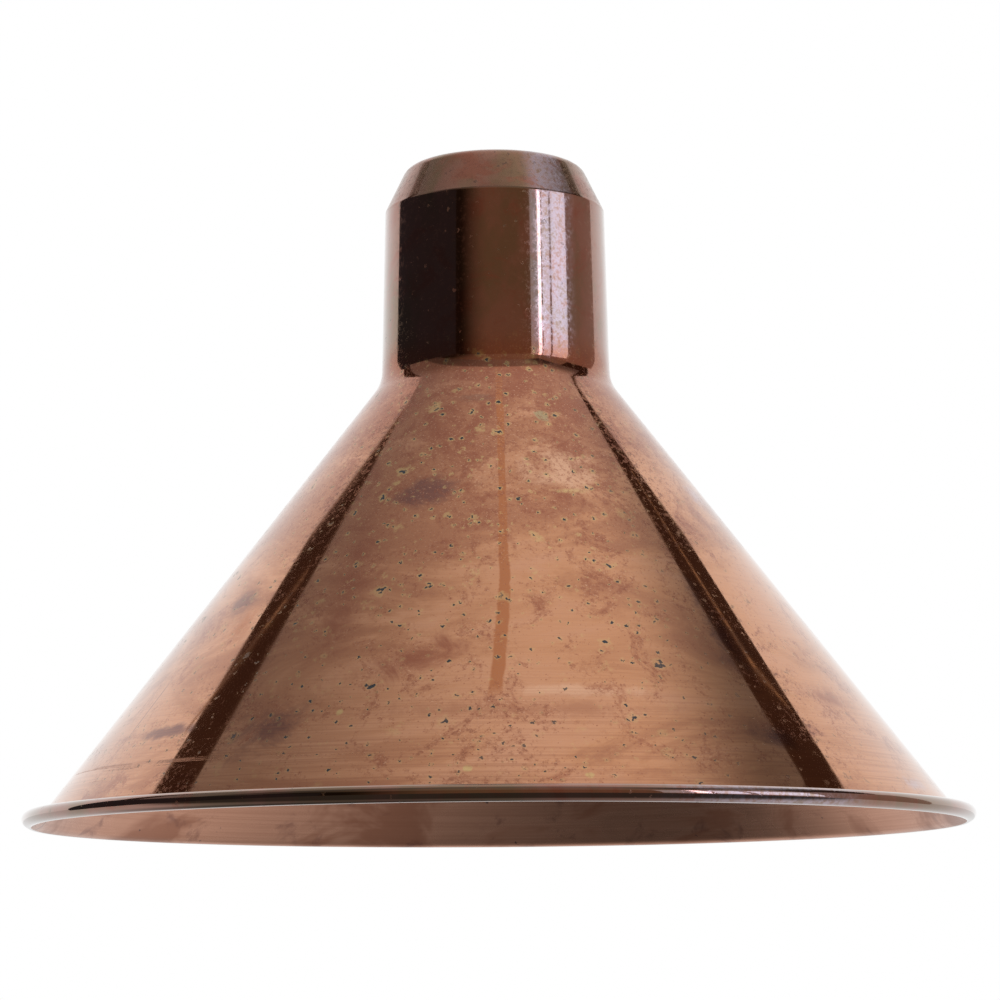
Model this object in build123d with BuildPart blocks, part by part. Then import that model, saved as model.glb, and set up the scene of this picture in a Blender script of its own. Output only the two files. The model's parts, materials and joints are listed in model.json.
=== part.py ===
import math
import os

from build123d import *

# A hanging lampshade spun from one disc of copper sheet, in millimetres.
# It stands on its rim, with +Z up. The origin is on its axis, in the plane that the rim rests on.
# Diameters are over the outside of the sheet. Heights and bend radii are those of its mid-line,
# the line half way through the metal, which the whole wall is drawn from.

# The sheet
sheet = 1.0

# The wide mouth and its rolled rim
rim_diameter = 320.0
bead_diameter = 5.2
rim_bend_radius = 4.3
curl_gap = 0.25

# The neck, the shoulder and the flat top
overall_height = 229.0
neck_base_height = 152.4
neck_base_diameter = 79.2
neck_fillet_radius = 14.0
shoulder_height = 213.2
shoulder_diameter = 76.7
shoulder_crease_radius = 1.6
top_diameter = 62.0
top_corner_radius = 3.9

# The round hole in the top that the lamp holder is clamped in
hole_diameter = 42.0

# Mid-line points, as (radius, height)
half_sheet = sheet / 2
top_height = overall_height - half_sheet
hole_edge = (hole_diameter / 2, top_height)
top_corner = (top_diameter / 2 - half_sheet, top_height)
shoulder_corner = (shoulder_diameter / 2 - half_sheet, shoulder_height)
neck_corner = (neck_base_diameter / 2 - half_sheet, neck_base_height)

# The rim: the wall bends outwards until it lies flat, then rolls up and back into the bead.
bead_radius = bead_diameter / 2
curl_radius = bead_radius - half_sheet
curl_center = (rim_diameter / 2 - bead_radius, bead_radius)
bend_center = (curl_center[0], half_sheet + rim_bend_radius)


def rim_tangent():
    """The point where a straight cone from the neck's corner runs into the rim's bend."""
    across = bend_center[0] - neck_corner[0]
    down = neck_corner[1] - bend_center[1]
    distance = math.hypot(across, down)
    towards_neck = math.atan2(down, -across)
    to_tangent = towards_neck + math.acos(rim_bend_radius / distance)
    return (
        bend_center[0] + rim_bend_radius * math.cos(to_tangent),
        bend_center[1] + rim_bend_radius * math.sin(to_tangent),
    )


cone_end = rim_tangent()

# The cone leans out from the axis by this angle, in degrees from vertical.
cone_angle = math.degrees(
    math.atan2(cone_end[0] - neck_corner[0], neck_corner[1] - cone_end[1])
)

# The roll stops where its raw edge is curl_gap short of the outside of the cone. The nearest
# line of the cone is wall_distance from the roll's centre, straight towards the axis and down.
normal = (math.cos(math.radians(cone_angle)), math.sin(math.radians(cone_angle)))
wall_distance = (
    (curl_center[0] - cone_end[0]) * normal[0]
    + (curl_center[1] - cone_end[1]) * normal[1]
    - half_sheet
)
short_of_wall = math.degrees(
    math.acos(max(0.0, min(1.0, (wall_distance - curl_gap) / bead_radius)))
)
curl_turn = 270.0 + cone_angle - short_of_wall

with BuildPart() as lampshade:
    with BuildSketch(Plane.XZ):
        with BuildLine() as mid_line:
            wall = FilletPolyline(
                hole_edge,
                top_corner,
                shoulder_corner,
                neck_corner,
                cone_end,
                radius=(top_corner_radius, shoulder_crease_radius, neck_fillet_radius),
            )
            rim_bend = JernArc(
                start=wall @ 1,
                tangent=wall % 1,
                radius=rim_bend_radius,
                arc_size=90.0 - cone_angle,
            )
            JernArc(
                start=rim_bend @ 1,
                tangent=rim_bend % 1,
                radius=curl_radius,
                arc_size=curl_turn,
            )
        trace(line_width=sheet)
    revolve(axis=Axis.Z)

lampshade.part.label = "lampshade"

os.makedirs("parts", exist_ok=True)
export_step(lampshade.part, "parts/lampshade.step")

print(f"cone {cone_angle:.2f} degrees from vertical, roll turned {curl_turn:.1f} degrees")
print(f"sheet metal {lampshade.part.volume / 1000:.2f} cm3")
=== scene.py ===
# %% [markdown]
# A spun copper lampshade, worn and stained, that hangs in front of a white backdrop.
# The frame is the measured part: one body, one node, in metres, standing on its rim with +Z up.
# Everything here keeps that frame. The node's box is read first.

# %% Load the measured part
import json
import math

import bmesh
import bpy
from mathutils import Matrix, Vector


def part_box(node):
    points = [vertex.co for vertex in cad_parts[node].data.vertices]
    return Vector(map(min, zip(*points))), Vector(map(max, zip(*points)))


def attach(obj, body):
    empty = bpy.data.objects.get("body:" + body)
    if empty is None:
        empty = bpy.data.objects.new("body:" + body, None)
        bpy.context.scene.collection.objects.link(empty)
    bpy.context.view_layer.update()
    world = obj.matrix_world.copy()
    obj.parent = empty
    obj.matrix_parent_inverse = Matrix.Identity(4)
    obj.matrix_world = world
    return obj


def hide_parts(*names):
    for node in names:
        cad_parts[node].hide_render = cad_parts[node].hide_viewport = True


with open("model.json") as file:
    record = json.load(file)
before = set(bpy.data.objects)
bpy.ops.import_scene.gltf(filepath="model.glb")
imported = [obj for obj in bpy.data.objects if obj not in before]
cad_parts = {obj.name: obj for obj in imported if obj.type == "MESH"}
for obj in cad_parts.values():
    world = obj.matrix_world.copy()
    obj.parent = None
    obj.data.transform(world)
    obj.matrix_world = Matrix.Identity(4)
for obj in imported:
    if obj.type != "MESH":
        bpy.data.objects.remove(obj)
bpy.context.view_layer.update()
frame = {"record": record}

low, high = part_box("lampshade")
MM = 0.001

# %% [markdown]
# The camera stands a little below the rim and looks up by nine degrees, which is why the near
# rim hides most of the far one and a thin strip of the inside shows. The lens is long, so the
# cone keeps its straight sides.

# %% Camera
SENSOR = 36.0
LENS = 107.71
CAMERA_PLACE = Vector((0.00113, -1.0179, -0.04865))
LOOKS_UP = math.radians(8.991)
ROLL = math.radians(-0.4195)

camera_data = bpy.data.cameras.new("camera")
camera_data.sensor_width = SENSOR
camera_data.lens = LENS
camera = bpy.data.objects.new("camera", camera_data)
bpy.context.scene.collection.objects.link(camera)
camera.matrix_world = (
    Matrix.Translation(CAMERA_PLACE)
    @ Matrix.Rotation(math.radians(90) + LOOKS_UP, 4, "X")
    @ Matrix.Rotation(ROLL, 4, "Z")
)
bpy.context.scene.camera = camera
bpy.context.scene.view_settings.view_transform = "Standard"
print("camera at", [round(c, 4) for c in CAMERA_PLACE], "lens", LENS, "mm")

# %% [markdown]
# Materials and light are built as node trees. Written out in full they are long, so a few
# helpers come first: one adds a node with its settings, and the others are the sums, soft steps
# and colour layers that every finish here is made of.

# %% Helpers for node trees
def plug(tree, socket, value):
    """Give a socket a value, or link it to another node's output."""
    if isinstance(value, bpy.types.NodeSocket):
        tree.links.new(value, socket)
    elif isinstance(value, tuple) and len(value) == 3 and socket.type == "RGBA":
        socket.default_value = (*value, 1.0)
    else:
        socket.default_value = value


def add(tree, kind, inputs=None, **settings):
    """Add a node. Inputs are given by socket name or number, settings by attribute."""
    made = tree.nodes.new(kind)
    for name, value in settings.items():
        setattr(made, name, value)
    for name, value in (inputs or {}).items():
        plug(tree, made.inputs[name], value)
    return made


def sums(tree, operation, *values, clamp=False):
    """One step of arithmetic."""
    made = add(tree, "ShaderNodeMath", dict(enumerate(values)), operation=operation, use_clamp=clamp)
    return made.outputs[0]


def soft_step(tree, value, start, end, to_min=0.0, to_max=1.0):
    """A smooth rise from to_min to to_max while value goes from start to end."""
    made = add(
        tree,
        "ShaderNodeMapRange",
        {"Value": value, "From Min": start, "From Max": end, "To Min": to_min, "To Max": to_max},
        interpolation_type="SMOOTHSTEP",
    )
    return made.outputs["Result"]


def layer(tree, mask, under, over, blend="MIX"):
    """Lay one colour over another where the mask is 1."""
    made = add(tree, "ShaderNodeMix", data_type="RGBA", blend_type=blend)
    plug(tree, made.inputs["Factor"], mask)
    plug(tree, made.inputs[6], under)
    plug(tree, made.inputs[7], over)
    return made.outputs[2]


def noise(tree, vector, scale, detail=3.0, roughness=0.5, distortion=0.0):
    """A noise value between 0 and 1."""
    made = add(
        tree,
        "ShaderNodeTexNoise",
        {"Vector": vector, "Scale": scale, "Detail": detail, "Roughness": roughness, "Distortion": distortion},
    )
    return made.outputs["Fac"]


def stretched(tree, vector, scale, turn=(0.0, 0.0, 0.0)):
    """The same vector, scaled along each axis, and turned first."""
    made = add(tree, "ShaderNodeMapping", {"Vector": vector, "Rotation": turn, "Scale": scale})
    return made.outputs["Vector"]


def split(tree, vector):
    """The three parts of a vector."""
    parts = add(tree, "ShaderNodeSeparateXYZ", {0: vector}).outputs
    return parts["X"], parts["Y"], parts["Z"]


def new_material(name):
    """A material with an empty tree and its output."""
    material = bpy.data.materials.new(name)
    material.use_nodes = True
    tree = material.node_tree
    tree.nodes.clear()
    return material, tree, add(tree, "ShaderNodeOutputMaterial")


def new_group(name, inputs, outputs):
    """A shader group with float or vector sockets, its input and output nodes."""
    tree = bpy.data.node_groups.new(name, "ShaderNodeTree")
    for label, default in inputs:
        kind = "NodeSocketVector" if default is None else "NodeSocketFloat"
        socket = tree.interface.new_socket(label, in_out="INPUT", socket_type=kind)
        if default is not None:
            socket.default_value = default
    for label in outputs:
        tree.interface.new_socket(label, in_out="OUTPUT", socket_type="NodeSocketFloat")
    return tree, add(tree, "NodeGroupInput").outputs, add(tree, "NodeGroupOutput").inputs


def use(tree, group, inputs):
    """Place a shader group with its own values."""
    made = add(tree, "ShaderNodeGroup", node_tree=group)
    for name, value in inputs.items():
        plug(tree, made.inputs[name], value)
    return made.outputs


# %% [markdown]
# Polished metal has hardly any colour of its own: it shows what stands around it. So the studio
# is a set of flat cards, each with its own brightness, and the cone's pale sides, its dark
# bands and its lit middle are the cards' edges, mirrored. The backdrop is the white world seen
# past the back edges of the dark walls and ceiling. The cards are closed to the camera, so that
# the shade can be seen from any side.

# %% Studio cards
FLOOR_Z = -0.35
CEILING_Z = 1.5
BOX_Z = 1.0
WALL_X = 2.2
FRONT_Y = -2.6


def glow(name, colour, strength, shape=None):
    """A card's finish: one brightness, or one that shape changes over the card."""
    material, tree, output = new_material(name)
    level = strength if shape is None else sums(tree, "MULTIPLY", shape(tree), strength)
    emission = add(tree, "ShaderNodeEmission", {"Color": colour, "Strength": level})
    plug(tree, output.inputs["Surface"], emission.outputs[0])
    return material


def card(name, corners, strength, colour=(1.0, 1.0, 1.0), shape=None):
    """A flat sheet between corners that the metal sees and the camera does not."""
    mesh = bpy.data.meshes.new(name)
    mesh.from_pydata(corners, [], [list(range(len(corners)))])
    mesh.materials.append(glow(name, colour, strength, shape))
    sheet = bpy.data.objects.new(name, mesh)
    bpy.context.scene.collection.objects.link(sheet)
    sheet.visible_camera = False
    sheet.visible_shadow = False
    return sheet


def upright(name, x0, y0, x1, y1, foot, head, strength, colour, shape=None):
    """A standing card over the line from (x0, y0) to (x1, y1)."""
    corners = [(x0, y0, foot), (x1, y1, foot), (x1, y1, head), (x0, y0, head)]
    return card(name, corners, strength, colour, shape)


def flat(name, x0, y0, x1, y1, z, strength, colour=(1.0, 1.0, 1.0), shape=None):
    """A level card between two corners."""
    return card(name, [(x0, y0, z), (x1, y0, z), (x1, y1, z), (x0, y1, z)], strength, colour, shape)


# %% [markdown]
# The light that shows in the middle of the cone is one wide softbox overhead. It is brightest a
# little right of the middle, dims to the left and fades out softly to the right, and its back
# edge gives the sharp inner edge of the left dark band.

# %% Overhead softbox
BOX_LEFT, BOX_FRONT, BOX_RIGHT, BOX_BACK = -1.7, -0.9, 0.95, 0.315
BOX_LEVEL = 0.9


def box_falloff(tree):
    """How bright the softbox is, by how far right and how far forward it is."""
    place = add(tree, "ShaderNodeTexCoord").outputs["Object"]
    card_x, card_y, card_z = split(tree, place)
    from_left = soft_step(tree, card_x, -0.9, 0.22, 0.36, 1.0)
    to_right = soft_step(tree, card_x, 0.42, 0.86, 1.0, 0.24)
    to_front = soft_step(tree, card_y, -0.43, -0.33, 0.42, 1.0)
    return sums(tree, "MULTIPLY", sums(tree, "MULTIPLY", from_left, to_right), to_front)


flat("overhead_box", BOX_LEFT, BOX_FRONT, BOX_RIGHT, BOX_BACK, BOX_Z, BOX_LEVEL, shape=box_falloff)

# %% Dark ceiling and walls
CEILING_BACK = 0.95
NOTCH_BACK, NOTCH_DEEP = 1.2, 0.86
LEFT_EDGE_Y = WALL_X / math.tan(math.radians(62.5))
RIGHT_EDGE_Y = WALL_X / math.tan(math.radians(61.1))

card(
    "dark_ceiling",
    [
        (-WALL_X, FRONT_Y, CEILING_Z),
        (WALL_X, FRONT_Y, CEILING_Z),
        (WALL_X, CEILING_BACK, CEILING_Z),
        (NOTCH_BACK, CEILING_BACK, CEILING_Z),
        (NOTCH_DEEP, 0.56, CEILING_Z),
        (-NOTCH_DEEP, 0.5, CEILING_Z),
        (-NOTCH_BACK, CEILING_BACK, CEILING_Z),
        (-WALL_X, CEILING_BACK, CEILING_Z),
    ],
    0.06,
    (1.0, 0.6, 0.45),
)


def left_falloff(tree):
    """How bright the front of the room is: dark at the left, full from the middle on."""
    place = add(tree, "ShaderNodeTexCoord").outputs["Object"]
    return soft_step(tree, split(tree, place)[0], -1.9, -0.2, 0.08, 1.0)


flat("front_ceiling", -WALL_X, FRONT_Y, WALL_X, -0.3, CEILING_Z - 0.05, 0.38, (1.0, 0.85, 0.7), left_falloff)
upright("left_wall", -WALL_X, FRONT_Y, -WALL_X, LEFT_EDGE_Y, FLOOR_Z, CEILING_Z, 0.045, (0.9, 0.85, 1.0))
upright("right_wall", WALL_X, FRONT_Y, WALL_X, RIGHT_EDGE_Y, FLOOR_Z, CEILING_Z, 0.45, (1.0, 0.74, 0.64))
upright("front_wall", -WALL_X, FRONT_Y, WALL_X, FRONT_Y, FLOOR_Z, CEILING_Z, 0.3, (1.0, 0.68, 0.48), left_falloff)

# Two thin gaps between the panels overhead give the fine light lines inside the dark bands.
GAP_WIDTH = 0.022
GAP_HEIGHT = CEILING_Z - 0.06
card(
    "gap_right",
    [
        (0.93, 0.63, GAP_HEIGHT),
        (1.27, 0.69, GAP_HEIGHT),
        (1.4, 0.86, GAP_HEIGHT),
        (1.27, 0.69 + GAP_WIDTH * 1.6, GAP_HEIGHT),
    ],
    0.42,
    (1.0, 0.75, 0.5),
)
card(
    "gap_left",
    [
        (-1.09, 0.58, GAP_HEIGHT),
        (-1.09, 0.58 + GAP_WIDTH, GAP_HEIGHT),
        (-1.47, 0.98 + GAP_WIDTH, GAP_HEIGHT),
        (-1.47, 0.98, GAP_HEIGHT),
    ],
    0.3,
    (1.0, 0.75, 0.55),
)

# %% [markdown]
# Right of the camera are two tall windows with a dark bar between them. The neck shows both as
# an upright highlight, and the rolled rim shows them as two short bright dashes. Their light is
# cooler than the room's, which is why the highlight is nearly white on brown metal.

# %% Windows
WINDOW_REACH = 1.9
WINDOW_FOOT, WINDOW_HEAD = 0.0, 0.98
DAYLIGHT = (0.86, 0.92, 1.0)


def window(name, from_degrees, to_degrees, strength):
    """An upright pane between two directions, both measured from the camera's side to the right."""
    ends = []
    for degrees in (from_degrees, to_degrees):
        turn = math.radians(degrees)
        ends += [WINDOW_REACH * math.sin(turn), -WINDOW_REACH * math.cos(turn)]
    return upright(name, *ends, WINDOW_FOOT, WINDOW_HEAD, strength, DAYLIGHT)


window("window_glow", 36.0, 43.6, 0.9)
window("window_strip", 44.0, 47.6, 5.0)
window("window_near", 49.0, 57.2, 1.9)
window("window_far", 59.2, 77.5, 2.0)

# %% World
world = bpy.data.worlds.new("studio")
bpy.context.scene.world = world
world.use_nodes = True
tree = world.node_tree
tree.nodes.clear()
paths = add(tree, "ShaderNodeLightPath").outputs
seen = sums(tree, "MAXIMUM", paths["Is Camera Ray"], paths["Is Glossy Ray"])
seen = sums(tree, "MAXIMUM", seen, paths["Is Transmission Ray"])
DIFFUSE_LEVEL = 0.5
level = soft_step(tree, seen, 0.0, 1.0, DIFFUSE_LEVEL, 1.0)
background = add(tree, "ShaderNodeBackground", {"Color": (1.0, 1.0, 1.0), "Strength": level})
world_output = add(tree, "ShaderNodeOutputWorld")
plug(tree, world_output.inputs["Surface"], background.outputs[0])

# %% [markdown]
# The floor is plain and pale, well below the shade. The camera and the metal see it as white,
# with a painted shadow under the shade; for the metal it is also painted darker towards the front.

# %% Floor
FLOOR_REACH = 9.0
SHADOW_X, SHADOW_Y = -0.13, 0.11
SHADOW_INNER, SHADOW_OUTER = 0.05, 0.5


def painted_floor_shadow(tree):
    """Painted shadow: how bright the floor is drawn here, darkest under the shade."""
    place = add(tree, "ShaderNodeTexCoord").outputs["Object"]
    moved = add(tree, "ShaderNodeVectorMath", {0: place, 1: (-SHADOW_X, -SHADOW_Y, -FLOOR_Z)}, operation="ADD")
    away = add(tree, "ShaderNodeVectorMath", {0: moved.outputs[0]}, operation="LENGTH").outputs["Value"]
    return soft_step(tree, away, SHADOW_INNER, SHADOW_OUTER, 0.1, 1.0)


floor_finish, tree, output = new_material("floor")
paths = add(tree, "ShaderNodeLightPath").outputs
floor_y = split(tree, add(tree, "ShaderNodeTexCoord").outputs["Object"])[1]
# Painted shade: the metal sees the floor darker in front.
painted_front_shadow = soft_step(tree, floor_y, -0.3, 0.04, 0.08, 0.8)
painted_shadow_for_metal = sums(tree, "MULTIPLY", painted_floor_shadow(tree), painted_front_shadow)
for_metal = add(tree, "ShaderNodeEmission", {"Strength": painted_shadow_for_metal})
for_camera = add(tree, "ShaderNodeEmission", {"Strength": soft_step(tree, painted_floor_shadow(tree), 0.1, 1.0, 0.82, 1.0)})
pick = add(tree, "ShaderNodeMixShader", {0: paths["Is Camera Ray"], 1: for_metal.outputs[0], 2: for_camera.outputs[0]})
below = add(tree, "ShaderNodeNewGeometry").outputs["Backfacing"]
clear = add(tree, "ShaderNodeBsdfTransparent")
one_sided = add(tree, "ShaderNodeMixShader", {0: below, 1: pick.outputs[0], 2: clear.outputs[0]})
plug(tree, output.inputs["Surface"], one_sided.outputs[0])

floor_mesh = bpy.data.meshes.new("floor")
floor_mesh.from_pydata(
    [
        (-FLOOR_REACH, -FLOOR_REACH, FLOOR_Z),
        (FLOOR_REACH, -FLOOR_REACH, FLOOR_Z),
        (FLOOR_REACH, FLOOR_REACH, FLOOR_Z),
        (-FLOOR_REACH, FLOOR_REACH, FLOOR_Z),
    ],
    [],
    [(0, 1, 2, 3)],
)
floor = bpy.data.objects.new("floor", floor_mesh)
bpy.context.scene.collection.objects.link(floor)
floor_mesh.materials.append(floor_finish)

# %% [markdown]
# The wall is one line, the middle of the sheet, followed from the hole in the top to the raw
# edge inside the rolled rim. Each bend is an arc and each stretch between two bends is straight.
# Half the sheet's thickness to either side gives the outer and the inner skin.

# %% The wall's driving sizes
SHEET = 1.0 * MM
RIM_RADIUS = 160.0 * MM
OVERALL_HEIGHT = high.z
HOLE_RADIUS = frame["record"]["mounts"][0]["dims"]["r_mm"] * MM
BEAD_RADIUS = 2.6 * MM
RIM_BEND_RADIUS = 4.3 * MM
CURL_GAP = 0.25 * MM
NECK_BASE_RADIUS, NECK_BASE_HEIGHT = 39.6 * MM, 152.4 * MM
NECK_FILLET = 14.0 * MM
SHOULDER_RADIUS, SHOULDER_HEIGHT = 38.35 * MM, 213.2 * MM
SHOULDER_CREASE = 1.6 * MM
TOP_RADIUS = 31.0 * MM
TOP_CORNER = 3.9 * MM

half_sheet = SHEET / 2
top_height = OVERALL_HEIGHT - half_sheet
hole_edge = Vector((HOLE_RADIUS, top_height))
top_corner = Vector((TOP_RADIUS - half_sheet, top_height))
shoulder_corner = Vector((SHOULDER_RADIUS - half_sheet, SHOULDER_HEIGHT))
neck_corner = Vector((NECK_BASE_RADIUS - half_sheet, NECK_BASE_HEIGHT))
curl_radius = BEAD_RADIUS - half_sheet
curl_center = Vector((RIM_RADIUS - BEAD_RADIUS, BEAD_RADIUS))
bend_center = Vector((curl_center.x, half_sheet + RIM_BEND_RADIUS))

# The cone runs tangent into the rim's bend, and the roll stops short of the cone's outside.
to_bend = bend_center - neck_corner
bend_angle = math.atan2(-to_bend.y, -to_bend.x) + math.acos(RIM_BEND_RADIUS / to_bend.length)
cone_end = bend_center + RIM_BEND_RADIUS * Vector((math.cos(bend_angle), math.sin(bend_angle)))
cone_lean = math.atan2(cone_end.x - neck_corner.x, neck_corner.y - cone_end.y)
outwards = Vector((math.cos(cone_lean), math.sin(cone_lean)))
wall_distance = (curl_center - cone_end).dot(outwards) - half_sheet
curl_turn = math.radians(270) + cone_lean - math.acos((wall_distance - CURL_GAP) / BEAD_RADIUS)
print("cone leans", round(math.degrees(cone_lean), 2), "degrees, roll turns", round(math.degrees(curl_turn), 1))


# %% Follow the wall
def turned(vector, angle):
    """A flat vector, turned to the left by an angle."""
    c, s = math.cos(angle), math.sin(angle)
    return Vector((vector.x * c - vector.y * s, vector.x * s + vector.y * c))


def straight(start, end, steps):
    """Points and headings along a straight stretch, without its last point."""
    heading = (end - start).normalized()
    return [(start.lerp(end, i / steps), heading) for i in range(steps)]


def arc(start, heading, radius, turn, steps):
    """Points and headings round a bend without its last point, and that point."""
    side = math.copysign(1.0, turn)
    center = start + turned(heading, side * math.pi / 2) * radius
    found = [(center + turned(start - center, turn * i / steps), turned(heading, turn * i / steps))
             for i in range(steps)]
    return found, center + turned(start - center, turn)


def follow_wall():
    """The middle of the sheet as points and headings, from the hole to the raw edge in the roll."""
    line, place = [], hole_edge
    corners = (
        (top_corner, hole_edge, shoulder_corner, TOP_CORNER, 3, 9),
        (shoulder_corner, top_corner, neck_corner, SHOULDER_CREASE, 5, 6),
        (neck_corner, shoulder_corner, cone_end, NECK_FILLET, 16, 12),
    )
    for corner, before, after, radius, run_steps, bend_steps in corners:
        come, go = (corner - before).normalized(), (after - corner).normalized()
        turn = math.atan2(come.x * go.y - come.y * go.x, come.dot(go))
        start = corner - come * radius * math.tan(abs(turn) / 2)
        line += straight(place, start, run_steps)
        bend, place = arc(start, come, radius, turn, bend_steps)
        line += bend
    line += straight(place, cone_end, 44)
    rim_bend, place = arc(cone_end, (cone_end - place).normalized(), RIM_BEND_RADIUS, math.pi / 2 - cone_lean, 6)
    line += rim_bend
    before_roll = len(line)
    curl, place = arc(place, Vector((1.0, 0.0)), curl_radius, curl_turn, 28)
    line += curl
    line.append((place, turned(Vector((1.0, 0.0)), curl_turn)))
    return line, before_roll


middle, before_roll = follow_wall()
print("wall followed in", len(middle), "points, widest", round(max(p.x for p, h in middle) / MM, 3), "mm")

# %% [markdown]
# The real shade is one disc, pressed over a turning form, so its section is the same all the
# way round. Geometry Nodes do just that here: the closed section is swept once round a circle.
# Its points carry two values along to the mesh: how far along the wall they are, and which skin
# they are on. The roll shows the skin that is the inside higher up, but it is finished with the
# outside.

# %% The section as a closed line
RAIL_RADIUS = 0.1
EDGE_ROUND = 0.22 * MM
EDGE_STEPS = 3


def raw_edge(point, heading, outward):
    """The sheet's cut edge with both corners eased, from the outer skin to the inner."""
    side = turned(heading, math.pi / 2)
    found = []
    for face in (1.0, -1.0):
        center = point + side * face * (half_sheet - EDGE_ROUND) - outward * EDGE_ROUND
        for i in range(EDGE_STEPS + 1):
            angle = math.pi / 2 * i / EDGE_STEPS
            angle = angle if face > 0 else math.pi / 2 - angle
            found.append(center + side * face * EDGE_ROUND * math.cos(angle) + outward * EDGE_ROUND * math.sin(angle))
    return found


outer = [p + turned(h, math.pi / 2) * half_sheet for p, h in middle]
inner = [p - turned(h, math.pi / 2) * half_sheet for p, h in middle]
first_point, first_heading = middle[0]
last_point, last_heading = middle[-1]
hole_rim = raw_edge(first_point, first_heading, -first_heading)
roll_rim = raw_edge(last_point, last_heading, last_heading)
loop = outer[1:-1] + roll_rim + inner[-2:0:-1] + hole_rim[::-1]

lengths = [0.0]
for (p, h), (q, k) in zip(middle, middle[1:]):
    lengths.append(lengths[-1] + (q - p).length)
loop_lengths = lengths[1:-1] + [lengths[-1]] * len(roll_rim) + lengths[-2:0:-1] + [0.0] * len(hole_rim)
inner_side = [1.0 if i < before_roll else 0.0 for i in range(len(middle))]
loop_inside = [0.0] * (len(outer) - 2 + len(roll_rim)) + inner_side[-2:0:-1] + [0.0] * len(hole_rim)

section = bpy.data.meshes.new("section")
section.from_pydata(
    [(p.x - RAIL_RADIUS, -p.y, 0.0) for p in loop],
    [(i, (i + 1) % len(loop)) for i in range(len(loop))],
    [],
)
for name, values in (("along_wall", loop_lengths), ("inner_skin", loop_inside)):
    section.attributes.new(name, "FLOAT", "POINT").data.foreach_set("value", values)
shade = bpy.data.objects.new("copper_shade", section)
bpy.context.scene.collection.objects.link(shade)
print("section has", len(loop), "points, wall", round(lengths[-1] / MM, 1), "mm long")

# %% [markdown]
# Now the metal itself. Old copper keeps a record of everything that touched it, so its finish is
# built in layers: clean metal, brown clouds, stains, one long drip, pits with a halo of verdigris,
# and the lines of the turning tool. Effects that come back are shader groups, each made once.
# The first group only says where a spot is: how many degrees round from the front, how high, and
# how many millimetres one degree is there.

# %% Group: place on the shade
place_group, given, result = new_group("place_on_shade", [], ["Angle", "Height", "Degree Length"])
spot = add(place_group, "ShaderNodeTexCoord").outputs["Object"]
spot_x, spot_y, spot_z = split(place_group, spot)
to_front = sums(place_group, "MULTIPLY", spot_y, -1.0)
round_front = sums(place_group, "ARCTAN2", spot_x, to_front)
flat_square = sums(place_group, "ADD", sums(place_group, "MULTIPLY", spot_x, spot_x),
                   sums(place_group, "MULTIPLY", spot_y, spot_y))
flat_reach = sums(place_group, "SQRT", flat_square)
plug(place_group, result["Angle"], sums(place_group, "DEGREES", round_front))
plug(place_group, result["Height"], sums(place_group, "DIVIDE", spot_z, MM))
plug(place_group, result["Degree Length"], sums(place_group, "MULTIPLY", flat_reach, math.radians(1) / MM))
print("group", place_group.name, "with", len(place_group.nodes), "nodes")

# %% [markdown]
# Each patch, stains and painted shade alike, is an ellipse on the unrolled surface, placed by angle and height,
# sized in millimetres and leaned over if the liquid ran. Noise added to its distance makes its edge wander.

# %% Group: patches, for stains and for painted shade
stain_and_shade_group, given, result = new_group(
    "stain_and_shade_patch",
    [
        ("Angle", 0.0),
        ("Height", 0.0),
        ("Degree Length", 1.0),
        ("Wander", 0.0),
        ("At Angle", 0.0),
        ("At Height", 60.0),
        ("Half Width", 10.0),
        ("Half Height", 10.0),
        ("Lean", 0.0),
        ("Softness", 0.6),
    ],
    ["Mask"],
)
rise = sums(stain_and_shade_group, "SUBTRACT", given["Height"], given["At Height"])
round_from = sums(stain_and_shade_group, "SUBTRACT", given["Angle"], given["At Angle"])
across = sums(stain_and_shade_group, "MULTIPLY", round_from, given["Degree Length"])
across = sums(stain_and_shade_group, "SUBTRACT", across, sums(stain_and_shade_group, "MULTIPLY", rise, given["Lean"]))
wide = sums(stain_and_shade_group, "DIVIDE", across, given["Half Width"])
tall = sums(stain_and_shade_group, "DIVIDE", rise, given["Half Height"])
away = sums(stain_and_shade_group, "SQRT", sums(stain_and_shade_group, "ADD", sums(stain_and_shade_group, "MULTIPLY", wide, wide),
                                      sums(stain_and_shade_group, "MULTIPLY", tall, tall)))
away = sums(stain_and_shade_group, "ADD", away, given["Wander"])
core = sums(stain_and_shade_group, "SUBTRACT", 1.0, given["Softness"])
plug(stain_and_shade_group, result["Mask"], soft_step(stain_and_shade_group, away, 1.0, core))
print("group", stain_and_shade_group.name, "with", len(stain_and_shade_group.nodes), "nodes")

# %% [markdown]
# Pits are what salt and damp leave. Voronoi cells scatter them, one to a cell, and each cell's own
# random colour decides whether it has a pit and how large. The halo is the same spot, wider.

# %% Group: pits
pit_group, given, result = new_group(
    "pits",
    [("Place", None), ("Per Metre", 300.0), ("Size", 0.15), ("Share", 0.4), ("Ragged", 0.3)],
    ["Spot", "Halo"],
)
finer = sums(pit_group, "MULTIPLY", given["Per Metre"], 3.6)
ragged = add(pit_group, "ShaderNodeTexNoise", {"Vector": given["Place"], "Scale": finer, "Detail": 2.0})
centred = add(pit_group, "ShaderNodeVectorMath", {0: ragged.outputs["Color"], 1: (0.5, 0.5, 0.5)},
              operation="SUBTRACT").outputs[0]
push = sums(pit_group, "DIVIDE", given["Ragged"], given["Per Metre"])
pushed = add(pit_group, "ShaderNodeVectorMath", {0: centred, "Scale": push}, operation="SCALE").outputs[0]
moved = add(pit_group, "ShaderNodeVectorMath", {0: given["Place"], 1: pushed}, operation="ADD").outputs[0]
cells = add(pit_group, "ShaderNodeTexVoronoi", {"Vector": moved, "Scale": given["Per Metre"]}).outputs
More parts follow.
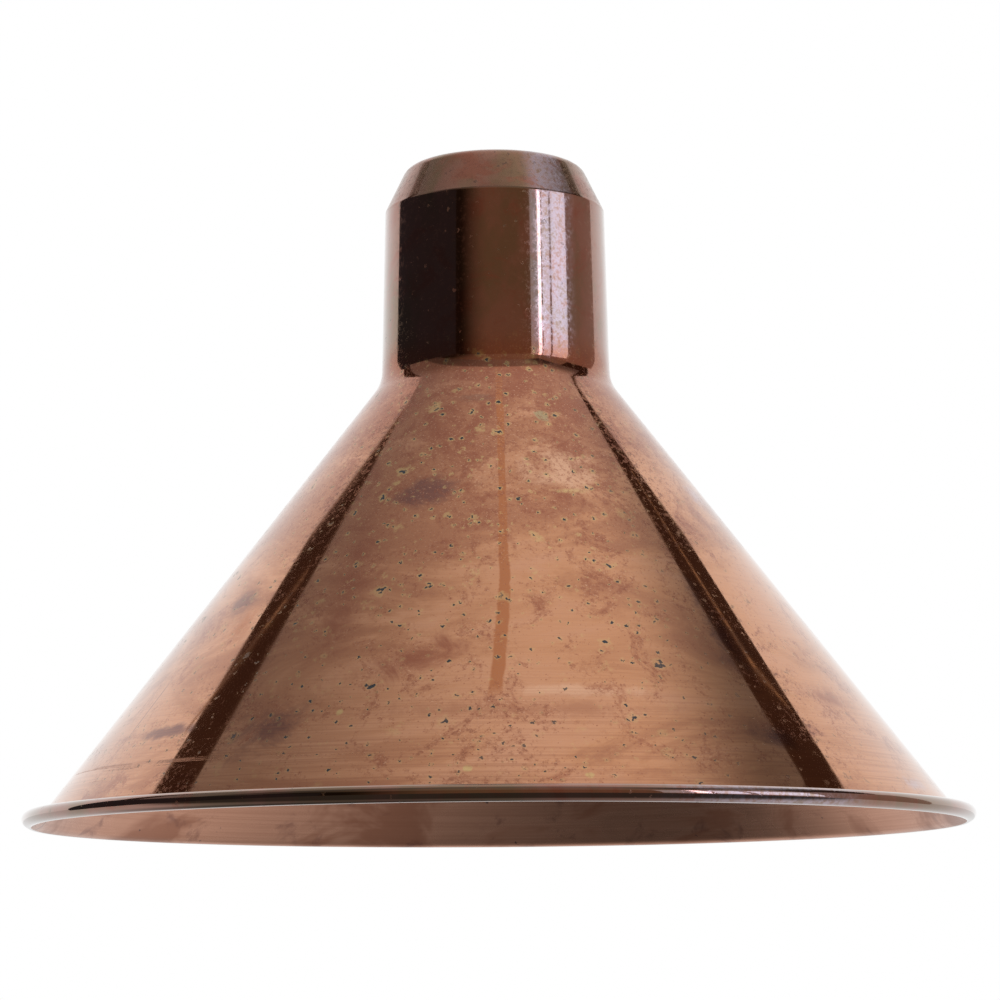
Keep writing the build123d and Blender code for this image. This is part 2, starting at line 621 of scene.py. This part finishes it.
luck, girth, other = split(pit_group, cells["Color"])
chosen = sums(pit_group, "LESS_THAN", luck, given["Share"])
girth = sums(pit_group, "MULTIPLY_ADD", girth, 0.75, 0.25)
pit_radius = sums(pit_group, "MULTIPLY", given["Size"], girth)
from_centre = sums(pit_group, "DIVIDE", cells["Distance"], pit_radius)
plug(pit_group, result["Spot"], sums(pit_group, "MULTIPLY", chosen, soft_step(pit_group, from_centre, 1.0, 0.7)))
plug(pit_group, result["Halo"], sums(pit_group, "MULTIPLY", chosen, soft_step(pit_group, from_centre, 2.1, 0.9)))
print("group", pit_group.name, "with", len(pit_group.nodes), "nodes")

# %% [markdown]
# Turned lines run round the axis. They come from noise that is read very finely along the wall
# and hardly at all round it, so each streak is long and thin. A high threshold picks single
# scratches out of the same noise.

# %% Group: turned lines
line_group, given, result = new_group(
    "turned_lines", [("Lines Per Metre", 1500.0), ("Breaks Per Metre", 12.0), ("Seed", 0.0)], ["Lines", "Scratch"]
)
along = add(line_group, "ShaderNodeAttribute", attribute_name="along_wall", attribute_type="GEOMETRY").outputs["Fac"]
spot = add(line_group, "ShaderNodeTexCoord").outputs["Object"]
spot_x, spot_y, spot_z = split(line_group, spot)
streak = add(line_group, "ShaderNodeCombineXYZ", {
    "X": sums(line_group, "MULTIPLY", spot_x, given["Breaks Per Metre"]),
    "Y": sums(line_group, "MULTIPLY", spot_y, given["Breaks Per Metre"]),
    "Z": sums(line_group, "MULTIPLY_ADD", along, given["Lines Per Metre"], given["Seed"]),
}).outputs[0]
lines_value = noise(line_group, streak, 1.0, detail=4.0, roughness=0.7)
plug(line_group, result["Lines"], lines_value)
plug(line_group, result["Scratch"], soft_step(line_group, lines_value, 0.63, 0.68))
print("group", line_group.name, "with", len(line_group.nodes), "nodes")

# %% [markdown]
# The palette is the metal's own, as bare reflectance: what copper looks like between clean and
# black. The neck, the shoulder and the roll were never polished back, so they wear a dark even
# tarnish under a glossy skin, which is a coat over the metal.

# %% Palette
CLEAN = (0.6, 0.275, 0.135)
ROSY = (0.62, 0.3, 0.17)
PALE = (0.76, 0.44, 0.28)
BROWN = (0.4, 0.16, 0.085)
RED_BROWN = (0.31, 0.095, 0.05)
PLUM = (0.2, 0.078, 0.06)
RUST = (0.44, 0.15, 0.055)
GOLD = (0.66, 0.46, 0.2)
OLIVE = (0.36, 0.33, 0.18)
INK = (0.028, 0.034, 0.05)
TARNISH = (0.31, 0.14, 0.095)
TARNISH_GREEN = (0.23, 0.13, 0.07)
TARNISH_RED = (0.3, 0.09, 0.05)
# A lilac oxide tint; on the neck and the roll it also stands in for the windows' highlight colour.
LILAC_BLOOM_AND_HIGHLIGHT = (0.45, 0.36, 0.42)

# %% [markdown]
# These stains, with a few patches of painted shade and painted dark reflection among them, are set down here: degrees
# round from the front, millimetres up, half width and half height, how far they lean for each millimetre of rise,
# softness, strength and colour.

# %% Stains and painted shade on the outside
STAINS_AND_PAINTED_SHADE = (
    ("dark_cloud_high", -18.0, 104.0, 17.0, 6.5, 0.9, 1.0, 0.95, PLUM),
    ("dark_cloud_low", -12.5, 45.0, 18.0, 8.5, 1.1, 1.0, 0.9, RED_BROWN),
    # These two darken the left edge of the lit middle: painted shade over some tarnish.
    ("left_edge_shadow", -31.0, 25.0, 18.0, 9.0, 0.6, 1.0, 0.9, PLUM),
    ("left_edge_painted_shade_upper", -27.0, 74.0, 11.0, 30.0, -0.1, 1.0, 0.8, RED_BROWN),
    ("polished_spot", 19.0, 112.0, 15.0, 12.0, 0.0, 1.0, 0.8, PALE),
    ("pale_streak", 17.5, 103.5, 8.0, 1.3, 1.2, 0.8, 0.6, GOLD),
    ("lower_band", 2.0, 28.5, 52.0, 3.4, 0.0, 0.9, 0.6, BROWN),
    ("band_above", 11.0, 34.5, 26.0, 2.4, 0.0, 0.9, 0.6, PALE),
    ("verdigris_patch", 15.8, 132.0, 2.6, 2.4, 0.0, 0.5, 0.7, OLIVE),
    ("grey_smear", -6.0, 138.6, 9.0, 1.8, 0.0, 0.8, 0.3, INK),
    ("yellow_spot_a", -4.6, 92.2, 1.3, 1.4, 0.0, 0.5, 0.8, GOLD),
    ("yellow_spot_b", -20.6, 28.8, 1.3, 1.2, 0.0, 0.5, 0.8, GOLD),
    ("yellow_spot_c", -3.4, 10.2, 1.6, 1.2, 0.0, 0.5, 0.8, GOLD),
    ("yellow_spot_d", 10.2, 8.0, 1.5, 1.0, 0.0, 0.5, 0.8, GOLD),
    ("far_left_smudge", -49.2, 26.2, 20.0, 2.6, 0.0, 0.9, 0.95, PLUM),
    ("left_orange", -47.5, 60.0, 6.0, 7.0, 0.2, 1.0, 0.8, RUST),
    ("left_grey", -53.0, 69.0, 11.0, 4.6, 0.5, 1.0, 0.85, PLUM),
    ("left_long_scratch", -59.2, 30.0, 0.3, 26.0, 0.05, 0.5, 0.9, PLUM),
    ("right_pink", 54.4, 36.0, 18.0, 5.0, -0.6, 1.0, 0.8, RED_BROWN),
    # These two deepen the dark band reflected right of the middle: painted dark reflection over some tarnish.
    ("right_band_painted_dark", 38.0, 22.5, 13.0, 5.5, 0.2, 1.0, 1.0, PLUM),
    ("right_band_painted_dark_upper", 38.5, 60.0, 9.0, 24.0, 0.0, 1.0, 0.95, PLUM),
    ("lilac_high_right", 66.0, 108.0, 7.0, 6.0, 0.0, 0.9, 0.6, LILAC_BLOOM_AND_HIGHLIGHT),
    ("lilac_low_right", 62.0, 9.5, 10.0, 3.0, 0.0, 0.9, 0.6, LILAC_BLOOM_AND_HIGHLIGHT),
    ("back_cloud_a", 150.0, 60.0, 34.0, 9.0, 0.7, 1.0, 0.9, BROWN),
    ("back_cloud_b", -140.0, 90.0, 22.0, 8.0, 0.9, 1.0, 0.9, PLUM),
    ("back_cloud_c", 110.0, 30.0, 40.0, 6.0, 0.3, 1.0, 0.8, RED_BROWN),
    ("back_cloud_d", -105.0, 45.0, 26.0, 9.0, -0.5, 1.0, 0.8, RED_BROWN),
)
print(len(STAINS_AND_PAINTED_SHADE), "stains on the outside")

# %% Outside finish: clean metal and clouds
outside, tree, output = new_material("old_copper_outside")
object_place = add(tree, "ShaderNodeTexCoord").outputs["Object"]
here = use(tree, place_group, {})
angle, height = here["Angle"], here["Height"]

slanted = stretched(tree, object_place, (0.6, 0.6, 1.7), turn=(0.0, math.radians(-30), 0.0))
broad = noise(tree, slanted, 19.0, detail=5.0, roughness=0.65, distortion=1.2)
middling = noise(tree, object_place, 70.0, detail=5.0, roughness=0.68, distortion=0.8)
speckle = noise(tree, object_place, 620.0, detail=3.0, roughness=0.75)
grain = noise(tree, stretched(tree, object_place, (1.0, 1.0, 1.5)), 1500.0, detail=2.0, roughness=0.6)

# Clouds gather on the left of the front and towards the top.
leftward = soft_step(tree, angle, 12.0, -26.0, 0.0, 0.1)
upward = soft_step(tree, height, 70.0, 140.0, 0.0, 0.12)
cloudiness = sums(tree, "ADD", sums(tree, "ADD", broad, leftward), upward)
colour = layer(tree, soft_step(tree, broad, 0.35, 0.6), ROSY, CLEAN)
brown_cloud = soft_step(tree, cloudiness, 0.5, 0.7, 0.0, 0.85)
colour = layer(tree, brown_cloud, colour, BROWN)
small_cloud = soft_step(tree, sums(tree, "ADD", middling, upward), 0.53, 0.72, 0.0, 0.75)
colour = layer(tree, small_cloud, colour, RED_BROWN)

# The top of the cone is darker, redder and coarser, and wanders into the neck.
top_edge = sums(tree, "MULTIPLY_ADD", middling, 26.0, height)
cone_top = soft_step(tree, top_edge, 136.0, 170.0, 0.0, 0.75)
colour = layer(tree, cone_top, colour, RED_BROWN)
print("outside: clouds on", outside.name)

# %% Outside finish: stains, painted shade and the drip
wander = sums(tree, "MULTIPLY_ADD", middling, 3.0, -1.5)
stain_and_painted_shade = 0.0
for name, at_angle, at_height, half_width, half_height, lean, softness, strength, tint in STAINS_AND_PAINTED_SHADE:
    made = use(tree, stain_and_shade_group, {
        "Angle": angle,
        "Height": height,
        "Degree Length": here["Degree Length"],
        "Wander": wander,
        "At Angle": at_angle,
        "At Height": at_height,
        "Half Width": half_width,
        "Half Height": half_height,
        "Lean": lean,
        "Softness": softness,
    })
    mask = sums(tree, "MULTIPLY", made["Mask"], strength)
    colour = layer(tree, mask, colour, tint)
    stain_and_painted_shade = sums(tree, "MAXIMUM", mask, stain_and_painted_shade)

# One drip ran down the front from the neck, widening, and dried a hand's breadth lower.
DRIP_TOP, DRIP_END = 150.0, 32.0
DRIP_ANGLE_TOP, DRIP_ANGLE_END = 1.35, -0.35
drip_angle = soft_step(tree, height, DRIP_END - 6.0, 78.0, DRIP_ANGLE_END, DRIP_ANGLE_TOP)
drip_width = soft_step(tree, height, DRIP_END, 120.0, 2.1, 1.1)
drip_across = sums(tree, "MULTIPLY", sums(tree, "SUBTRACT", angle, drip_angle), here["Degree Length"])
drip_wander = sums(tree, "MULTIPLY_ADD", middling, 2.4, -1.2)
drip_across = sums(tree, "ABSOLUTE", sums(tree, "ADD", drip_across, drip_wander))
drip_side = sums(tree, "DIVIDE", drip_across, drip_width)
drip = sums(tree, "MULTIPLY", soft_step(tree, drip_side, 1.2, 0.8),
            soft_step(tree, height, DRIP_END - 1.0, DRIP_END + 5.0))
drip = sums(tree, "MULTIPLY", drip, soft_step(tree, height, DRIP_TOP + 4.0, DRIP_TOP - 15.0, 0.2, 0.95))
colour = layer(tree, drip, colour, RUST)
print("outside:", len(STAINS_AND_PAINTED_SHADE), "stains and a drip")

# %% [markdown]
# Close up, the metal is etched: tiny dark and light crystals, strongest near the top and in
# patches. Two reads of one fine noise give them, one dark and one light.

# %% Outside finish: etching, turned lines, dots and pits
etched = sums(tree, "MAXIMUM", soft_step(tree, height, 66.0, 112.0), soft_step(tree, middling, 0.44, 0.6))
dark_etch = sums(tree, "MULTIPLY", soft_step(tree, speckle, 0.5, 0.62, 0.0, 0.6), etched)
colour = layer(tree, dark_etch, colour, RED_BROWN)
light_etch = sums(tree, "MULTIPLY", soft_step(tree, grain, 0.6, 0.7, 0.0, 0.55), etched)
colour = layer(tree, light_etch, colour, PALE)

lines = use(tree, line_group, {"Lines Per Metre": 1400.0, "Breaks Per Metre": 9.0})
low_down = soft_step(tree, height, 50.0, 10.0, 0.3, 1.0)
line_shade = sums(tree, "MULTIPLY", soft_step(tree, lines["Lines"], 0.44, 0.62, 0.0, 0.5), low_down)
colour = layer(tree, line_shade, colour, BROWN)
deep = use(tree, line_group, {"Lines Per Metre": 520.0, "Breaks Per Metre": 6.0, "Seed": 3.7})
scratch_zone = sums(tree, "MULTIPLY", soft_step(tree, height, 27.0, 22.0), soft_step(tree, height, 8.0, 13.0))
scratch_zone = sums(tree, "MULTIPLY", scratch_zone, soft_step(tree, middling, 0.4, 0.5, 0.3, 1.0))
scratched = sums(tree, "MULTIPLY", deep["Scratch"], scratch_zone)
colour = layer(tree, sums(tree, "MULTIPLY", scratched, 0.5), colour, BROWN)

dots = use(tree, pit_group, {"Place": object_place, "Per Metre": 800.0, "Size": 0.26, "Share": 0.7, "Ragged": 0.5})
pits = use(tree, pit_group, {"Place": object_place, "Per Metre": 330.0, "Size": 0.24, "Share": 0.65, "Ragged": 0.7})
large = use(tree, pit_group, {"Place": object_place, "Per Metre": 125.0, "Size": 0.2, "Share": 0.5, "Ragged": 0.7})

front_middle = soft_step(tree, sums(tree, "ABSOLUTE", angle), 44.0, 32.0, 0.5, 1.0)
not_right = soft_step(tree, angle, 34.0, 18.0, 0.45, 1.0)
pit_zone = sums(tree, "MULTIPLY", sums(tree, "MULTIPLY", front_middle, not_right),
                soft_step(tree, broad, 0.3, 0.5, 0.5, 1.0))
dot_mask = sums(tree, "MULTIPLY", dots["Spot"], soft_step(tree, middling, 0.36, 0.56, 0.3, 0.85))
colour = layer(tree, dot_mask, colour, RED_BROWN)
halo = sums(tree, "MULTIPLY", sums(tree, "MAXIMUM", pits["Halo"], large["Halo"]), pit_zone)
colour = layer(tree, sums(tree, "MULTIPLY", halo, soft_step(tree, height, 20.0, 120.0, 0.25, 0.6)), colour, GOLD)
pitted = sums(tree, "MULTIPLY", sums(tree, "MAXIMUM", pits["Spot"], large["Spot"]), pit_zone)
colour = layer(tree, pitted, colour, INK)
print("outside: etching, lines, scratches, dots and two sizes of pit")

# %% Outside finish: dark tarnish on neck, shoulder and roll
neck_edge = sums(tree, "MULTIPLY_ADD", middling, 16.0, height)
on_neck = soft_step(tree, neck_edge, 160.0, 176.0)
out_x, out_y, out_z = split(tree, object_place)
reach = add(tree, "ShaderNodeVectorMath", {0: add(tree, "ShaderNodeCombineXYZ", {"X": out_x, "Y": out_y}).outputs[0]},
            operation="LENGTH").outputs["Value"]
on_roll = sums(tree, "MULTIPLY", soft_step(tree, height, 5.6, 5.0),
               soft_step(tree, reach, RIM_RADIUS - 2 * BEAD_RADIUS - SHEET, RIM_RADIUS - 2 * BEAD_RADIUS))
tarnished = sums(tree, "MAXIMUM", on_neck, on_roll)
neck_shift = noise(tree, stretched(tree, object_place, (1.0, 1.0, 0.55)), 42.0, detail=5.0, roughness=0.65)
tarnish = layer(tree, soft_step(tree, neck_shift, 0.42, 0.6), TARNISH, TARNISH_GREEN)
tarnish = layer(tree, soft_step(tree, middling, 0.5, 0.66, 0.0, 0.7), tarnish, TARNISH_RED)
# Pale lilac oxide, placed where the windows' highlight falls on the neck and the roll: partly a painted highlight.
bloom_and_highlight_zone = sums(tree, "MULTIPLY", soft_step(tree, angle, 14.0, 26.0), soft_step(tree, angle, 46.0, 38.0))
bloom_and_highlight_mask = sums(tree, "MULTIPLY", bloom_and_highlight_zone, soft_step(tree, speckle, 0.3, 0.65, 0.1, 0.8))
tarnish = layer(tree, bloom_and_highlight_mask, tarnish, LILAC_BLOOM_AND_HIGHLIGHT)
colour = layer(tree, tarnished, colour, tarnish)
on_shoulder = soft_step(tree, height, 212.0, 215.0)
print("outside: tarnish on neck, shoulder and roll")

# %% Outside finish: gloss, relief and the shader
roughness = sums(tree, "MULTIPLY_ADD", brown_cloud, 0.05, 0.035)
roughness = sums(tree, "MULTIPLY_ADD", stain_and_painted_shade, 0.06, roughness)
roughness = sums(tree, "MULTIPLY_ADD", dark_etch, 0.25, roughness)
roughness = sums(tree, "MULTIPLY_ADD", scratched, 0.3, roughness)
roughness = sums(tree, "MULTIPLY_ADD", pitted, 0.4, roughness)
roughness = sums(tree, "MULTIPLY_ADD", on_shoulder, 0.16, roughness)
metal = sums(tree, "MULTIPLY_ADD", pitted, -0.5, 1.0)
shoulder_skin = soft_step(tree, height, 212.0, 215.0, 1.0, 0.4)
gloss_skin = soft_step(tree, tarnished, 0.0, 1.0, 0.4, shoulder_skin)

relief = sums(tree, "MULTIPLY", pits["Spot"], -1.0)
relief = sums(tree, "MULTIPLY_ADD", lines["Lines"], 0.1, relief)
relief = sums(tree, "MULTIPLY_ADD", grain, 0.05, relief)
bump = add(tree, "ShaderNodeBump", {"Height": relief, "Strength": 0.25, "Distance": 0.05 * MM})

shader = add(tree, "ShaderNodeBsdfPrincipled", {
    "Base Color": colour,
    "Metallic": metal,
    "Roughness": roughness,
    "Normal": bump.outputs["Normal"],
    "Coat Weight": gloss_skin,
    "Coat Roughness": 0.03,
    "Coat IOR": 1.5,
})
plug(tree, output.inputs["Surface"], shader.outputs[0])
print("outside finish has", len(tree.nodes), "nodes")

# %% [markdown]
# The inside was never polished either, but no weather reached it: a satin pink-brown with cloudy
# stains and the turning lines left from the spinning, and painted shade that darkens it towards the neck.

# %% Inside finish
SATIN = (0.6, 0.31, 0.21)
INSIDE_BROWN = (0.36, 0.15, 0.09)
INSIDE_DARK = (0.2, 0.085, 0.07)
inside, tree, output = new_material("old_copper_inside")
object_place = add(tree, "ShaderNodeTexCoord").outputs["Object"]
height = use(tree, place_group, {})["Height"]
clouds = noise(tree, stretched(tree, object_place, (1.0, 1.0, 2.2)), 20.0, detail=4.0, roughness=0.6, distortion=0.8)
blots = noise(tree, object_place, 75.0, detail=4.0, roughness=0.6, distortion=0.5)
lines = use(tree, line_group, {"Lines Per Metre": 900.0, "Breaks Per Metre": 8.0, "Seed": 9.1})
colour = layer(tree, soft_step(tree, clouds, 0.46, 0.62, 0.0, 0.8), SATIN, INSIDE_BROWN)
colour = layer(tree, soft_step(tree, blots, 0.56, 0.72, 0.0, 0.6), colour, INSIDE_DARK)
colour = layer(tree, soft_step(tree, lines["Lines"], 0.4, 0.65, 0.0, 0.3), colour, INSIDE_BROWN)
specks = use(tree, pit_group, {"Place": object_place, "Per Metre": 160.0, "Size": 0.12, "Share": 0.25, "Ragged": 0.4})
colour = layer(tree, sums(tree, "MULTIPLY", specks["Spot"], 0.7), colour, INK)
# Painted shade: darker towards the neck, deep inside the hollow.
painted_neck_shade = soft_step(tree, height, 120.0, 190.0, 0.0, 0.6)
colour = layer(tree, painted_neck_shade, colour, INSIDE_DARK)
relief = sums(tree, "MULTIPLY_ADD", lines["Lines"], 0.3, sums(tree, "MULTIPLY", specks["Spot"], -0.5))
bump = add(tree, "ShaderNodeBump", {"Height": relief, "Strength": 0.3, "Distance": 0.05 * MM})
shader = add(tree, "ShaderNodeBsdfPrincipled", {
    "Base Color": colour,
    "Metallic": 1.0,
    "Roughness": soft_step(tree, clouds, 0.35, 0.65, 0.24, 0.34),
    "Normal": bump.outputs["Normal"],
})
plug(tree, output.inputs["Surface"], shader.outputs[0])
print("inside finish has", len(tree.nodes), "nodes")

# %% [markdown]
# The tree that spins the sheet takes the section and a few sizes. After the sweep it pushes every
# point towards the axis by a few hundredths of a millimetre, following slow noise: a hand-turned
# sheet is never quite round, and that is what makes the edges of its reflections waver.

# %% Spin the sheet
lathe = bpy.data.node_groups.new("spin_the_sheet", "GeometryNodeTree")
lathe.interface.new_socket("Section", in_out="INPUT", socket_type="NodeSocketGeometry")
for name, kind, value in (
    ("Steps Round", "NodeSocketInt", 360),
    ("Rail Radius", "NodeSocketFloat", RAIL_RADIUS),
    ("Unevenness", "NodeSocketFloat", 0.12 * MM),
    ("Waves Per Metre", "NodeSocketFloat", 13.0),
    ("Seed", "NodeSocketFloat", 3.0),
    ("Outside Finish", "NodeSocketMaterial", None),
    ("Inside Finish", "NodeSocketMaterial", None),
):
    socket = lathe.interface.new_socket(name, in_out="INPUT", socket_type=kind)
    if value is not None:
        socket.default_value = value
lathe.interface.new_socket("Shade", in_out="OUTPUT", socket_type="NodeSocketGeometry")

sizes = add(lathe, "NodeGroupInput").outputs
profile = add(lathe, "GeometryNodeMeshToCurve", {"Mesh": sizes["Section"]}).outputs["Curve"]
rail = add(lathe, "GeometryNodeCurvePrimitiveCircle",
           {"Resolution": sizes["Steps Round"], "Radius": sizes["Rail Radius"]}).outputs["Curve"]
swept = add(lathe, "GeometryNodeCurveToMesh", {"Curve": rail, "Profile Curve": profile}).outputs["Mesh"]

position = add(lathe, "GeometryNodeInputPosition").outputs[0]
waver = add(lathe, "ShaderNodeTexNoise", {"W": sizes["Seed"], "Scale": sizes["Waves Per Metre"], "Detail": 1.0},
            noise_dimensions="4D").outputs["Fac"]
plan = add(lathe, "ShaderNodeVectorMath", {0: position, 1: (1.0, 1.0, 0.0)}, operation="MULTIPLY").outputs[0]
outward = add(lathe, "ShaderNodeVectorMath", {0: plan}, operation="NORMALIZE").outputs[0]
push = sums(lathe, "MULTIPLY", sums(lathe, "MULTIPLY", waver, sizes["Unevenness"]), -1.0)
offset = add(lathe, "ShaderNodeVectorMath", {0: outward, "Scale": push}, operation="SCALE").outputs[0]
uneven = add(lathe, "GeometryNodeSetPosition", {"Geometry": swept, "Offset": offset}).outputs["Geometry"]

smooth = add(lathe, "GeometryNodeSetShadeSmooth", {"Geometry": uneven}).outputs["Geometry"]
realized = add(lathe, "GeometryNodeRealizeInstances", {"Geometry": smooth}).outputs["Geometry"]
dressed = add(lathe, "GeometryNodeSetMaterial",
              {"Geometry": realized, "Material": sizes["Outside Finish"]}).outputs["Geometry"]
inner_skin = add(lathe, "GeometryNodeInputNamedAttribute", {"Name": "inner_skin"}, data_type="FLOAT")
is_inner = add(lathe, "FunctionNodeCompare", {0: inner_skin.outputs["Attribute"], 1: 0.5},
               data_type="FLOAT", operation="GREATER_THAN").outputs["Result"]
dressed = add(lathe, "GeometryNodeSetMaterial",
              {"Geometry": dressed, "Selection": is_inner, "Material": sizes["Inside Finish"]}).outputs["Geometry"]
plug(lathe, add(lathe, "NodeGroupOutput").inputs["Shade"], dressed)
print("tree", lathe.name, "has", len(lathe.nodes), "nodes")

# %% Turn the tree's result into one plain mesh
modifier = shade.modifiers.new("spin", "NODES")
modifier.node_group = lathe
sockets = {item.name: item.identifier for item in lathe.interface.items_tree if item.in_out == "INPUT"}
modifier[sockets["Steps Round"]] = 360
modifier[sockets["Outside Finish"]] = outside
modifier[sockets["Inside Finish"]] = inside
spun = bpy.data.meshes.new_from_object(shade.evaluated_get(bpy.context.evaluated_depsgraph_get()))
shade.modifiers.remove(modifier)
shade.data = spun
spun.name = "copper_shade"

measured = bmesh.new()
measured.from_mesh(spun)
print("metal", round(measured.calc_volume(signed=True) * 1e6, 2), "cm3,",
      sum(len(face.verts) - 2 for face in measured.faces), "triangles,",
      [m.name for m in spun.materials])
measured.free()

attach(shade, "root")
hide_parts("lampshade")
